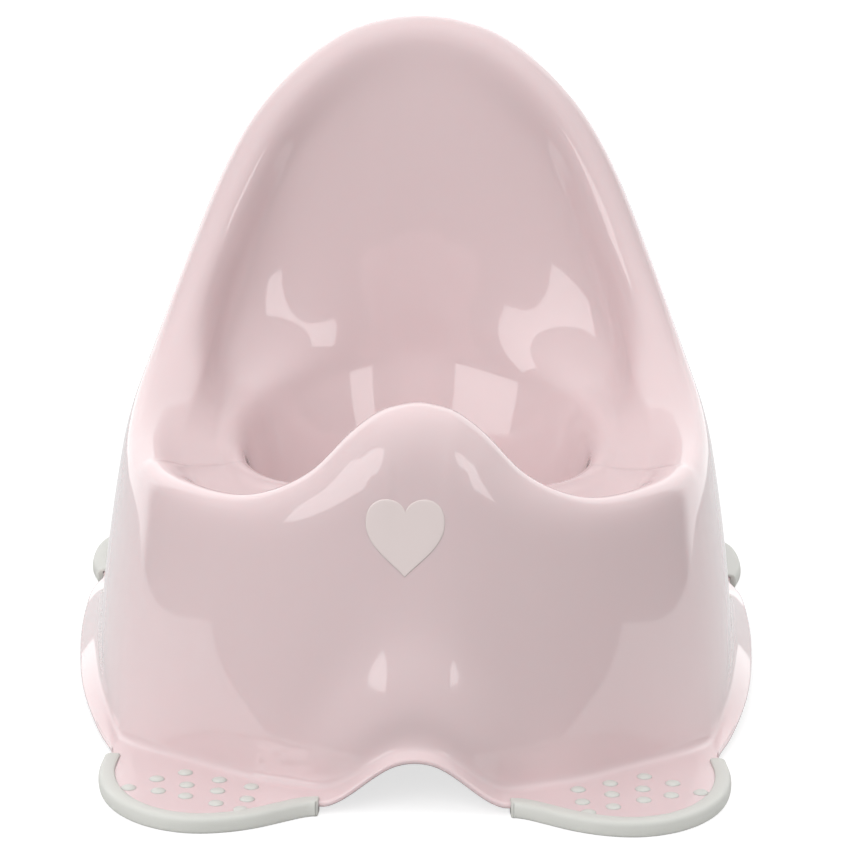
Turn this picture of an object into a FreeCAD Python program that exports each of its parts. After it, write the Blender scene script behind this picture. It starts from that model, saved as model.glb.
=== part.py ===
import FreeCAD, Part
import math, os
import Sketcher
from FreeCAD import Vector

"""Potty training chair: one thin moulded shell (bowl, seat, splash guard, high back, skirt, four foot
plates), four soft edges on the foot plates, two groups of soft grip dots and a small front emblem.
Frame: millimetres, +Z up, the child faces -Y, origin on the floor under the middle of the outline."""

# ---------------------------------------------------------------- vectors
def add(a, b): return (a[0]+b[0], a[1]+b[1], a[2]+b[2])
def sub(a, b): return (a[0]-b[0], a[1]-b[1], a[2]-b[2])
def mul(a, s): return (a[0]*s, a[1]*s, a[2]*s)
def dot(a, b): return a[0]*b[0]+a[1]*b[1]+a[2]*b[2]
def cross(a, b): return (a[1]*b[2]-a[2]*b[1], a[2]*b[0]-a[0]*b[2], a[0]*b[1]-a[1]*b[0])
def unit(a):
    n = math.sqrt(dot(a, a)) or 1.0
    return (a[0]/n, a[1]/n, a[2]/n)
def mix(a, b, t): return tuple(p+(q-p)*t for p, q in zip(a, b))
def step(t):
    t = min(1.0, max(0.0, t))
    return t*t*t*(t*(6*t-15)+10)


class Spline:
    """Cubic spline; slope 0 at both ends (even) or curvature 0 at both ends (odd)."""

    def __init__(self, xs, ys, odd=False):
        n = len(xs)
        h = [xs[i+1]-xs[i] for i in range(n-1)]
        a, b, c, r = [0.0]*n, [1.0]*n, [0.0]*n, [0.0]*n
        if not odd:
            b[0], c[0], r[0] = 2*h[0], h[0], 6*(ys[1]-ys[0])/h[0]
            a[-1], b[-1], r[-1] = h[-1], 2*h[-1], -6*(ys[-1]-ys[-2])/h[-1]
        for i in range(1, n-1):
            a[i], b[i], c[i] = h[i-1], 2*(h[i-1]+h[i]), h[i]
            r[i] = 6*((ys[i+1]-ys[i])/h[i]-(ys[i]-ys[i-1])/h[i-1])
        for i in range(1, n):
            m = a[i]/b[i-1]
            b[i] -= m*c[i-1]
            r[i] -= m*r[i-1]
        k = [0.0]*n
        k[-1] = r[-1]/b[-1]
        for i in range(n-2, -1, -1):
            k[i] = (r[i]-c[i]*k[i+1])/b[i]
        self.x, self.y, self.k = list(xs), list(ys), k

    def __call__(self, t):
        x, y, k = self.x, self.y, self.k
        lo, hi = 0, len(x)-1
        while hi-lo > 1:
            m = (lo+hi)//2
            if x[m] > t:
                hi = m
            else:
                lo = m
        h = x[hi]-x[lo]
        p, q = (x[hi]-t)/h, (t-x[lo])/h
        return p*y[lo]+q*y[hi]+((p**3-p)*k[lo]+(q**3-q)*k[hi])*h*h/6


class Curve:
    """Half of a loop that is symmetric about x = 0, through (station, x, y, z) rows."""

    def __init__(self, rows):
        s = [r[0] for r in rows]
        self.c = [Spline(s, [r[1] for r in rows], odd=True),
                  Spline(s, [r[2] for r in rows]), Spline(s, [r[3] for r in rows])]

    def __call__(self, s): return tuple(c(s) for c in self.c)

    def tangent(self, s):
        a, b = max(0.0, s-0.4), min(180.0, s+0.4)
        if s < 0.5 or s > 179.5:
            return (1.0, 0.0, 0.0) if s < 0.5 else (-1.0, 0.0, 0.0)
        return unit(sub(self(b), self(a)))


class Table:
    def __init__(self, rows): self.s = Spline([r[0] for r in rows], [r[1] for r in rows])
    def __call__(self, t): return self.s(t)


# ---------------------------------------------------------------- guide curves (mm)
# station, x, y, z : outer shoulder of the rolled rim
CREST = [
    (0, 0, -141.6, 176.5), (3, 9, -141.5, 175.3), (6, 17, -141, 173.2), (9, 24, -140.5, 169.5),
    (12, 30, -139.7, 165), (15, 35.5, -139, 160), (18, 40.5, -138.2, 154.4), (22, 46.8, -137.1, 147),
    (26, 52.6, -135.5, 141.6), (30, 59, -133.2, 137), (34.5, 67, -129.4, 132.4), (39, 76, -124.2, 128.6),
    (44, 86.5, -116, 126.2), (49.5, 97, -106, 125.2), (54.5, 106, -95.5, 124.9), (59, 113.2, -85.3, 124.7),
    (63, 118.4, -76, 124.8), (67, 122.4, -66.3, 125.2), (70, 124.8, -58.5, 125.7), (74, 127.2, -47.5, 126.7),
    (79, 128.9, -33, 128.2), (84, 129.3, -18, 130.6), (90, 128.3, -1, 134.7), (97, 125.2, 15, 141),
    (105, 119.6, 31, 152.4), (112, 112.9, 46.3, 168.5), (117, 107, 56, 182.5), (121, 101.8, 63.5, 195),
    (124.5, 96.8, 69.8, 207), (128, 91.4, 75.6, 219), (132, 84.8, 81.5, 232), (136, 77.7, 86.5, 243.5),
    (140, 70.4, 90.6, 252.8), (144, 62.8, 94.3, 260.6), (148, 54.8, 97.7, 267.6), (153, 45, 101.7, 274.5),
    (158, 35.6, 105.1, 280), (163, 26.6, 107.7, 283.6), (167, 19.9, 109.3, 285.4), (170.5, 14.3, 110.2, 286.4),
    (174, 8.9, 110.7, 286.9), (177, 4.4, 110.95, 287.1), (180, 0, 111, 287.2)]
# foot of the skirt wall
CREASE = [
    (0, 0, -165.5, 29.5), (3, 10, -165.2, 27.5), (6, 19.5, -163.8, 21), (9, 28, -161, 14), (12, 35.5, -157.3, 9),
    (15, 42, -153.7, 6.6), (18, 49, -150.3, 6), (22, 57, -147, 6), (26, 64.5, -144.2, 6), (30, 72.5, -140, 6),
    (34.5, 81, -134, 6), (39, 89.5, -127.7, 6), (44, 99, -121.2, 6), (49.5, 108.5, -115, 6), (54.5, 116, -109.2, 6),
    (59, 121.8, -103.9, 6), (63, 126.3, -98.5, 6), (67, 130, -92.7, 6), (70, 131.9, -88, 7), (74, 134.5, -80.5, 9.4),
    (79, 137.3, -70, 13), (84, 140.2, -55.5, 16.4), (90, 142.9, -33.5, 19.5), (97, 145.3, -3, 21), (105, 147.1, 33, 20),
    (112, 147.2, 66, 15.5), (117, 145.6, 90, 10), (121, 141.8, 104, 7), (124.5, 137, 113, 6), (128, 131.5, 120, 6),
    (132, 125, 127, 6), (136, 118, 133.5, 6), (140, 110.5, 139.5, 6), (144, 103, 145, 6), (148, 95, 150, 6),
    (153, 84.5, 155.5, 6), (158, 73.5, 160, 6), (163, 61.5, 163.7, 6), (167, 50.5, 166.3, 7), (170.5, 39.5, 168.2, 11),
    (174, 27, 169.6, 18), (177, 13.5, 170.4, 23.5), (180, 0, 170.6, 25.5)]
# free edge of the flange, the two front and the two rear foot plates
LIP = [
    (0, 0, -170.7, 25.4), (3, 10, -170.6, 23.6), (6, 20, -170.3, 17.6), (9, 29.5, -170, 10.4), (12, 37, -169.4, 6.3), (13, 39.3, -169.2, 6),
    (15, 44, -169, 6), (18, 52, -173, 6), (22, 60.5, -178.6, 6), (26, 68.5, -183.4, 6), (30, 78.5, -187.3, 6),
    (34.5, 89.5, -189.1, 6), (39, 99.5, -187.9, 6), (44, 111.5, -182.3, 6), (49.5, 123, -170.5, 6), (54.5, 130, -156, 6),
    (59, 133.1, -141, 6), (63, 133.4, -128, 6), (67, 132.2, -115, 6), (70, 133.6, -105.5, 6), (74, 138, -94, 6.6),
    (79, 143.4, -76.5, 8), (84, 148, -57.5, 9.4), (90, 152, -33, 10.6), (97, 154.8, -3, 11), (105, 157, 35, 10.6),
    (112, 157.4, 71.6, 9), (117, 156.8, 97.5, 7.2), (121, 154.3, 113, 6.3), (124.5, 152.7, 124, 6), (128, 155, 134, 6),
    (132, 156.9, 145, 6), (136, 156.6, 159, 6), (140, 154.4, 173, 6), (144, 148, 182.5, 6), (148, 137, 187.7, 6),
    (153, 121, 189.9, 6), (158, 103, 188, 6), (163, 86, 182.5, 6), (167, 70, 178, 6), (170.5, 55, 176.5, 8.5),
    (174, 36, 176.3, 15), (177, 18, 176.2, 20), (180, 0, 176.2, 21.5)]
# edge of the bowl
EDGE = [
    (0, 0, -104, 126), (9, 15, -102.5, 125.5), (18, 30, -98, 124.5), (26, 42, -91, 123), (34.5, 52, -82, 121),
    (44, 61, -70.5, 119), (54.5, 68.5, -56, 117), (63, 73, -44, 115.8), (70, 75.8, -33, 115), (79, 78, -19, 114.5),
    (90, 79, -2, 114.5), (97, 78.5, 9.5, 115), (105, 76.5, 22, 116), (112, 73, 33, 117.3), (121, 66.5, 44.5, 119),
    (132, 55.5, 56, 122), (144, 42, 65, 125.5), (153, 31.5, 70, 128), (163, 20, 73.8, 130), (172, 9.5, 75.8, 131),
    (180, 0, 76.3, 131.3)]
# outer and inner radius of the rolled rim, and how far its outline stands out from the guide
ROLL_OUT = [(0, 15), (15, 14.5), (26, 12), (34.5, 10), (44, 8.5), (60, 8), (75, 8.5), (90, 9.5), (105, 11.5),
            (121, 13.5), (150, 14.5), (180, 14.5)]
ROLL_IN = [(0, 7), (26, 6.5), (44, 6), (60, 6), (80, 7), (97, 8.5), (112, 10.5), (132, 12), (180, 12.5)]
STAND = [(0, 0), (60, 0.3), (84, 1.0), (90, 1.6), (97, 2.8), (105, 4.0), (112, 4.9), (121, 5.6), (132, 5.5), (144, 4.7),
         (158, 3.4), (165, 2.2), (172, 2.0), (180, 2.1)]
SAG = [(0, 0), (30, 0.5), (50, 0.8), (70, 0.8), (85, 1.2), (97, 3), (105, 6), (112, 8.5), (121, 9), (132, 7.5),
       (144, 4), (153, 2), (163, 0), (180, -1)]


def on_cone(th, z, dim):
    """Drafted oval skirt: angle from the front, height -> point, outward normal in plan."""
    a = dim["half_w"]-dim["draft_side"]*(z-6)
    bf = dim["front"]-dim["draft_front"]*(z-6)
    br = dim["rear"]-dim["draft_rear"]*(z-6)
    c, s = math.cos(th), math.sin(th)
    b = bf if c > 0 else br
    return (a*s, dim["y0"]-b*c, z)


def cone_angle(p, dim):
    z = p[2]
    a = dim["half_w"]-dim["draft_side"]*(z-6)
    bf = dim["front"]-dim["draft_front"]*(z-6)
    br = dim["rear"]-dim["draft_rear"]*(z-6)
    dy = dim["y0"]-p[1]
    return math.atan2(p[0]/a, dy/(bf if dy > 0 else br))


def cone_normal(p, dim):
    th = cone_angle(p, dim)
    e = 0.01
    q = on_cone(th, p[2], dim)
    du = sub(on_cone(th+e, p[2], dim), on_cone(th-e, p[2], dim))
    dz = sub(on_cone(th, p[2]+1, dim), on_cone(th, p[2]-1, dim))
    n = unit(cross(du, dz))
    if n[0]*q[0]+n[1]*(q[1]-dim["y0"]) < 0:
        n = mul(n, -1)
    return n


def stations(rows, n):
    """Pole stations: the guide stations with n-1 extra ones between neighbours."""
    s = [r[0] for r in rows]
    out = []
    for a, b in zip(s, s[1:]):
        out += [a+(b-a)*i/n for i in range(n)]
    return out+[s[-1]]


def section(s, G, dim):
    """Poles of one section of the moulding, from the bowl floor outwards to the free edge."""
    crest, crease, lip, edge = G["crest"](s), G["crease"](s), G["lip"](s), G["edge"](s)
    crease, lip = [(p[0], p[1], 6.0 if p[2] < 6.12 else p[2]) for p in (crease, lip)]
    ro, ri = G["out"](s), G["in"](s)
    rows = []
    yc, fz = dim["bowl_y"], dim["floor_z"]
    ze = edge[2]
    for k, z in ((0.40, fz), (0.51, fz), (0.62, fz), (0.705, fz+3.2)):
        rows.append((edge[0]*k, yc+(edge[1]-yc)*k, z))
    for k, t in ((0.765, 0.17), (0.83, 0.38), (0.886, 0.60), (0.938, 0.80)):
        rows.append((edge[0]*k, yc+(edge[1]-yc)*k, fz+(ze-fz)*t))
    # rolled rim
    N = cone_normal(crest, dim)
    T = G["crest"].tangent(s)
    k = G["stand"](s)
    w = unit((-T[2], 0.0, T[0]))
    if w[0]*crest[0]+w[2]*(crest[2]-100.0) < 0:
        w = mul(w, -1)
    crest = add(crest, mul(w, k))
    U = unit(cross(N, T))
    if U[2] < 0:
        U = mul(U, -1)
    if s < 0.5 or s > 179.5:
        N = unit((0.0, N[1], N[2]))
        U = unit((0.0, U[1], U[2]))
    drop = max(0.0, 0.29*(ro+0.4*ri)+0.05*ri-0.8)*(1-step((s-60)/35.0))
    crest = add(crest, mul(U, -drop))
    out_low = add(crest, mul(U, -1.3*ro))
    out_top = add(crest, add(mul(N, -0.29*ro), mul(U, 0.32*ri-0.1*(ro-ri))))
    shelf = step((s-48)/18.0)*(1-step((s-95)/24.0))
    in_top = add(crest, add(mul(N, -(ro+0.72*ri+2*shelf)), mul(U, 0.32*ri-0.14*ri*shelf)))
    in_low = add(crest, add(mul(N, -(ro+ri+9*shelf)), mul(U, -1.15*ri*(1-0.88*shelf))))
    # edge of the bowl, softened
    c = sub(in_low, edge)
    L = math.sqrt(dot(c, c))
    cu = mul(c, 1/L)
    wall = unit(sub(edge, rows[-1]))
    e = dim["edge_soft"]
    rows.append(add(edge, mul(wall, -e)))
    rows.append(edge)
    rows.append(add(edge, mul(cu, e)))
    # seat, splash guard and backrest
    rad = unit((N[0], N[1], 0.0))
    cr, cz = dot(c, rad), c[2]
    sag = unit((rad[0]*cz, rad[1]*cz, -cr))
    sg = G["sag"](s)
    t0 = e/L
    for i in range(1, 7):
        t = t0+(1-t0)*i/7.0
        w = math.sin(math.pi*t)
        rows.append(add(mix(edge, in_low, t), mul(sag, sg*w)))
    rows += [in_low, in_top, out_top, out_low]
    # skirt wall
    ths, zs = cone_angle(out_low, dim), out_low[2]
    foot = add(crease, (0, 0, 0))
    thk, zk = cone_angle(foot, dim), foot[2]
    d0 = sub(out_low, on_cone(ths, zs, dim))
    d1 = sub(foot, on_cone(thk, zk, dim))
    n = 8
    wallp = []
    for i in range(1, n+1):
        t = i/float(n)
        t = t if i < n else 1-dim["crease_soft"]/max(20.0, zs-zk)
        th, z = ths+(thk-ths)*t, zs+(zk-zs)*t
        p = on_cone(th, z, dim)
        w = t*t*t
        p = add(p, add(mul(d0, 1-t), mul(d1, w)))
        # forward flare of the wall above the front arch
        top = dim["flare_z"]-0.021*p[0]*p[0]
        f = dim["flare"]*step((top-p[2])/48.0)*step((72-abs(p[0]))/40.0)*(1 if p[1] < 0 else 0)*(1-step((t-0.80)/0.2))
        p = add(p, mul(unit((N[0], N[1], 0)), f))
        wallp.append(p)
    rows += wallp
    # crease, flange or foot plate, free edge
    w = sub(lip, crease)
    Lw = math.sqrt(dot(w, w))
    k = min(0.30, dim["crease_soft"]/Lw)
    rows.append(crease)
    for t in (k, k+(1-k)*0.25, k+(1-k)*0.5, k+(1-k)*0.75, 1.0):
        rows.append(mix(crease, lip, t))
    return rows


def pole_net(dim):
    G = {"crest": Curve(CREST), "crease": Curve(CREASE), "lip": Curve(LIP), "edge": Curve(EDGE),
         "out": Table(ROLL_OUT), "in": Table(ROLL_IN), "stand": Table(STAND), "sag": Table(SAG)}
    st = stations(LIP, 2)
    return st, [section(s, G, dim) for s in st]


def flip(p): return (-p[0], p[1], p[2])


def padded(net):
    """Net with one mirrored column at each end and one extrapolated row at each end."""
    cols = [[flip(p) for p in net[1]]]+[list(c) for c in net]+[[flip(p) for p in net[-2]]]
    return [[sub(mul(c[0], 2), c[1])]+c+[sub(mul(c[-1], 2), c[-2])] for c in cols]


def basis(t):
    return ((1-t)**3/6, (3*t**3-6*t**2+4)/6, (-3*t**3+3*t**2+3*t+1)/6, t**3/6)


def dbasis(t):
    return (-(1-t)**2/2, (3*t*t-4*t)/2, (-3*t*t+2*t+1)/2, t*t/2)


def surf(P, u, v, d=False):
    """Uniform cubic surface on the padded net P; u over columns, v over rows."""
    nu, nv = len(P)-3, len(P[0])-3
    i, j = min(nu-1, max(0, int(u))), min(nv-1, max(0, int(v)))
    bu, bv = basis(u-i), basis(v-j)
    def acc(a, b):
        x = y = z = 0.0
        for m in range(4):
            for n in range(4):
                w = a[m]*b[n]
                q = P[i+m][j+n]
                x += w*q[0]; y += w*q[1]; z += w*q[2]
        return (x, y, z)
    p = acc(bu, bv)
    if not d:
        return p
    return p, acc(dbasis(u-i), bv), acc(bu, dbasis(v-j))


def normal(P, u, v):
    p, du, dv = surf(P, u, v, True)
    return p, unit(cross(du, dv))


# ---------------------------------------------------------------- document and driving sizes
doc = FreeCAD.newDocument("potty_chair")
sheet = doc.addObject("Spreadsheet::Sheet", "dims")
SIZES = [
    ("wall_thick", 2.8), ("bowl_floor_z", 22.0), ("bowl_centre_y", -14.0), ("bowl_edge_soft", 8.5),
    ("skirt_half_width", 149.8), ("skirt_draft_side", 0.15), ("skirt_front", 150.0),
    ("skirt_draft_front", 0.15), ("skirt_rear", 187.0), ("skirt_draft_rear", 0.214), ("skirt_centre_y", -15.0),
    ("crease_soft", 6.0), ("front_flare", 5.0), ("front_flare_top", 85.0),
    ("plate_top", 6.0), ("fit_gap", 0.05), ("edge_cover", 4.3), ("edge_stand_out", 2.8), ("edge_crown", 1.5),
    ("front_edge_from", 13.6), ("front_edge_to", 66.5), ("rear_edge_from", 125.5), ("rear_edge_to", 164.5),
    ("dot_dia", 6.6), ("dot_high", 1.0), ("dot_round", 0.8), ("dot_shank", 4.0), ("sole_thick", 1.2),
    ("emblem_size", 34.0), ("emblem_thick", 0.35), ("emblem_x", -5.0), ("emblem_z", 118.0)]
for i, (alias, value) in enumerate(SIZES, 1):
    sheet.set("A%d" % i, alias)
    sheet.set("B%d" % i, "%g" % value)
    sheet.setAlias("B%d" % i, alias)
doc.recompute()


def D(alias): return float(getattr(sheet, alias))


dim = {"half_w": D("skirt_half_width"), "draft_side": D("skirt_draft_side"), "front": D("skirt_front"),
       "draft_front": D("skirt_draft_front"), "rear": D("skirt_rear"), "draft_rear": D("skirt_draft_rear"),
       "y0": D("skirt_centre_y"), "bowl_y": D("bowl_centre_y"), "floor_z": D("bowl_floor_z"),
       "edge_soft": D("bowl_edge_soft"), "crease_soft": D("crease_soft"), "flare": D("front_flare"),
       "flare_z": D("front_flare_top")}
T = D("wall_thick")
PT = D("plate_top")
GAP = D("fit_gap")


# ---------------------------------------------------------------- spline patches
def clamp(seq):
    """Poles of a uniform cubic -> the same curve with clamped ends."""
    n = len(seq)-3
    return ([mul(add(add(seq[0], mul(seq[1], 4)), seq[2]), 1/6.0), mul(add(mul(seq[1], 2), seq[2]), 1/3.0)]
            + [seq[i] for i in range(2, n+1)]
            + [mul(add(mul(seq[n+1], 2), seq[n]), 1/3.0), mul(add(add(seq[n], mul(seq[n+1], 4)), seq[n+2]), 1/6.0)])


def clamp2(P):
    rows = [clamp(c) for c in P]
    cols = [clamp([rows[i][j] for i in range(len(rows))]) for j in range(len(rows[0]))]
    return [[cols[j][i] for j in range(len(cols))] for i in range(len(cols[0]))]


def patch(Q, du=3, dv=3):
    """Face of a B-spline surface with clamped uniform knots."""
    nu, nv = len(Q), len(Q[0])
    s = Part.BSplineSurface()
    ku, kv = list(range(nu-du+1)), list(range(nv-dv+1))
    s.buildFromPolesMultsKnots([[Vector(*p) for p in c] for c in Q],
                               [du+1]+[1]*(len(ku)-2)+[du+1], [dv+1]+[1]*(len(kv)-2)+[dv+1],
                               [float(k) for k in ku], [float(k) for k in kv], False, False, du, dv)
    return s.toShape()


def bcurve(q):
    n = len(q)
    c = Part.BSplineCurve()
    k = list(range(n-2))
    c.buildFromPolesMultsKnots([Vector(*p) for p in q], [4]+[1]*(len(k)-2)+[4], [float(x) for x in k], False, 3)
    return c.toShape()


def sewn(faces):
    sh = Part.makeShell(faces)
    sh.sewShape()
    if sh.ShapeType != "Shell":
        sh = sh.Shells[0]
    so = Part.makeSolid(sh)
    if so.Volume < 0:
        so.reverse()
    return so


def flat(edges): return Part.Face(Part.Wire(Part.__sortEdges__(edges)))


# ---------------------------------------------------------------- the moulding
st, net = pole_net(dim)
top = padded(net)
NU, NV = len(net), len(net[0])
target = []
for i in range(NU):
    col = []
    for j in range(NV):
        p, n = normal(top, i, j)
        if i in (0, NU-1):
            n = unit((0.0, n[1], n[2]))
        q = add(p, mul(n, T))
        if i in (0, NU-1):
            q = (0.0, q[1], q[2])
        col.append(q)
    target.append(col)
under = [list(c) for c in target]
for it in range(24):
    U = padded(under)
    nxt = []
    for i in range(NU):
        col = []
        for j in range(NV):
            s = surf(U, i, j)
            q = add(under[i][j], sub(target[i][j], s))
            col.append((0.0, q[1], q[2]) if i in (0, NU-1) else q)
        nxt.append(col)
    under = nxt
QT, QU = clamp2(top), clamp2(padded(under))
half = [patch(QT), patch(QU)]
lip_t, lip_u = [c[-1] for c in QT], [c[-1] for c in QU]
half.append(patch([[a, b] for a, b in zip(lip_t, lip_u)], 3, 1))
for Q in (QT, QU):
    row = [c[0] for c in Q]
    half.append(flat([bcurve(row), Part.makeLine(Vector(*row[-1]), Vector(*row[0]))]))
faces = []
for f in half:
    faces += [f, f.mirror(Vector(0, 0, 0), Vector(1, 0, 0))]
shell = sewn(faces)

# ---------------------------------------------------------------- grip dots (x > 0 side), mirrored for the other
DOTS = [(110.5, -144.5), (98.7, -137), (97.3, -151.3), (109.1, -158.2), (97.2, -163.8), (83.7, -145.2),
        (83.9, -157.7), (83.9, -171.6), (69.7, -152.6), (71, -166.6), (73.2, -178.2), (121.9, -154.8)]
holes = [Part.makeCylinder(D("dot_shank")/2+GAP, 3*T, Vector(sx*x, y, PT-2*T)) for x, y in DOTS for sx in (1, -1)]
shell = shell.cut(Part.makeCompound(holes))
if shell.ShapeType != "Solid" and len(shell.Solids) == 1:
    shell = shell.Solids[0]

body_shell = doc.addObject("Part::Feature", "potty_shell")
body_shell.Shape = shell
body_shell.Label = "potty_shell"

SOLE = [(60.5, -152.5), (63, -168.5), (69, -178.5), (84, -181.5), (101, -178.5), (113, -168.5), (123, -161.5),
        (128, -153.5), (124.5, -147.5), (111.5, -138.5), (98, -130.5), (82, -138.5)]


def plane_of(body, role):
    for f in body.Origin.OriginFeatures:
        if getattr(f, "Role", "") == role:
            return f
    raise RuntimeError("no plane "+role)


def sketch(body, name, z_expr):
    sk = body.newObject("Sketcher::SketchObject", name)
    sk.AttachmentSupport = [(plane_of(body, "XY_Plane"), "")]
    sk.MapMode = "FlatFace"
    sk.setExpression("AttachmentOffset.Base.z", z_expr)
    return sk


def circles(sk, sx, expr):
    for k, (x, y) in enumerate(DOTS):
        g = sk.addGeometry(Part.Circle(Vector(sx*x, y, 0), Vector(0, 0, 1), 2.0), False)
        c = sk.addConstraint(Sketcher.Constraint("Diameter", g, 4.0))
        sk.setExpression("Constraints[%d]" % c, expr)


def grip_dots(name, sx):
    body = doc.addObject("PartDesign::Body", name)
    body.Label = name
    sk = sketch(body, name+"_sole", "dims.plate_top - dims.wall_thick - dims.fit_gap - dims.sole_thick")
    pts = [Vector(sx*x, y, 0) for x, y in SOLE]
    for a, b in zip(pts, pts[1:]+pts[:1]):
        sk.addGeometry(Part.LineSegment(a, b), False)
    pad = body.newObject("PartDesign::Pad", name+"_sole_pad")
    pad.Profile = sk
    pad.setExpression("Length", "dims.sole_thick")
    sk2 = sketch(body, name+"_shanks", "dims.plate_top - dims.wall_thick - dims.fit_gap - dims.sole_thick / 2")
    circles(sk2, sx, "dims.dot_shank")
    pad2 = body.newObject("PartDesign::Pad", name+"_shank_pad")
    pad2.Profile = sk2
    pad2.setExpression("Length", "dims.wall_thick + dims.sole_thick / 2 + 3 * dims.fit_gap")
    sk3 = sketch(body, name+"_heads", "dims.plate_top + dims.fit_gap")
    circles(sk3, sx, "dims.dot_dia")
    pad3 = body.newObject("PartDesign::Pad", name+"_head_pad")
    pad3.Profile = sk3
    pad3.setExpression("Length", "dims.dot_high")
    body.Tip = pad3
    doc.recompute()
    ztop = PT+GAP+D("dot_high")
    names = ["Edge%d" % (i+1) for i, e in enumerate(pad3.Shape.Edges)
             if e.BoundBox.ZMin > ztop-0.01]
    fil = body.newObject("PartDesign::Fillet", name+"_head_round")
    fil.Base = (pad3, names)
    fil.setExpression("Radius", "dims.dot_round")
    body.Tip = fil
    return body


dots_r = grip_dots("front_right_grip_dots", 1)
dots_l = grip_dots("front_left_grip_dots", -1)


# ---------------------------------------------------------------- soft edges of the foot plates
def solve(points):
    """Poles of a uniform cubic, straight phantom ends, through the points."""
    p = list(points)
    for it in range(40):
        s = [sub(mul(p[0], 2), p[1])]+p+[sub(mul(p[-1], 2), p[-2])]
        p = [add(p[i], sub(points[i], mul(add(add(s[i], mul(s[i+1], 4)), s[i+2]), 1/6.0))) for i in range(len(p))]
    return [sub(mul(p[0], 2), p[1])]+p+[sub(mul(p[-1], 2), p[-2])]


def lip_point(s):
    """Point and outward plan normal on the free edge at a station."""
    k = 0
    while k < len(st)-2 and st[k+1] <= s:
        k += 1
    u = k+(s-st[k])/(st[k+1]-st[k])
    p, du, dv = surf(top, u, NV-1, True)
    n = unit((du[1], -du[0], 0.0))
    return p, n


def soft_edge(name, s0, s1, sx):
    c, w, o, h = GAP, D("edge_cover"), D("edge_stand_out"), D("edge_crown")
    zb, zt = PT-T-c, PT+c
    n = int(round((s1-s0)/1.1))
    ring = [lip_point(s0+(s1-s0)*i/n) for i in range(n+1)]

    def rail(a, z):
        q = clamp(solve([(p[0]+nn[0]*a, p[1]+nn[1]*a, z) for p, nn in ring]))
        return q

    skin = [(-w, zt), (-w-0.1, zt+0.65*h), (-0.72*w, zt+h), (-0.1*w, zt+h), (0.55*o, zt+0.72*h), (o, zt-0.9),
            (1.12*o, 0.45*PT), (0.95*o, 0.9), (0.5*o, 0.0)]
    rails = [rail(a, z) for a, z in skin]
    Q = [[r[i] for r in rails] for i in range(len(rails[0]))]
    fs = [patch(Q)]
    corner = [(0.5*o, 0.0), (-w, 0.0), (-w, zb), (c, zb), (c, zt), (-w, zt)]
    cr = [rails[-1]]+[rail(a, z) for a, z in corner[1:-1]]+[rails[0]]
    for i, (a, b) in enumerate(zip(cr, cr[1:])):
        if i % 2:
            fs.append(patch([[p, q] for p, q in zip(a, b)], 3, 1))
        else:
            fs.append(flat([bcurve(a), bcurve(b), Part.makeLine(Vector(*a[0]), Vector(*b[0])),
                            Part.makeLine(Vector(*a[-1]), Vector(*b[-1]))]))
    for e in (0, -1):
        edges = [bcurve([r[e] for r in rails])]
        for a, b in zip(cr, cr[1:]):
            edges.append(Part.makeLine(Vector(*a[e]), Vector(*b[e])))
        fs.append(flat(edges))
    so = sewn(fs)
    if sx < 0:
        so = so.mirror(Vector(0, 0, 0), Vector(1, 0, 0))
    f = doc.addObject("Part::Feature", name)
    f.Shape = so
    f.Label = name
    return f


soft_edge("front_right_foot_edge", D("front_edge_from"), D("front_edge_to"), 1)
soft_edge("front_left_foot_edge", D("front_edge_from"), D("front_edge_to"), -1)
soft_edge("rear_right_foot_edge", D("rear_edge_from"), D("rear_edge_to"), 1)
soft_edge("rear_left_foot_edge", D("rear_edge_from"), D("rear_edge_to"), -1)


# ---------------------------------------------------------------- plain heart on the front wall
def wall_at(x, z):
    """Point and outward normal on the front wall at (x, z)."""
    sg = 1 if x >= 0 else -1
    u, v = 3.0, 24.0
    for it in range(30):
        p, du, dv = surf(top, u, v, True)
        ex, ez = abs(x)-p[0], z-p[2]
        det = du[0]*dv[2]-du[2]*dv[0]
        u += max(-1.5, min(1.5, (ex*dv[2]-ez*dv[0])/det))
        v += max(-1.5, min(1.5, (du[0]*ez-du[2]*ex)/det))
        u, v = max(0.0, u), max(20.5, min(28.5, v))
    p, n = normal(top, u, v)
    return (sg*p[0], p[1], p[2]), (-sg*n[0], -n[1], -n[2])


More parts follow.
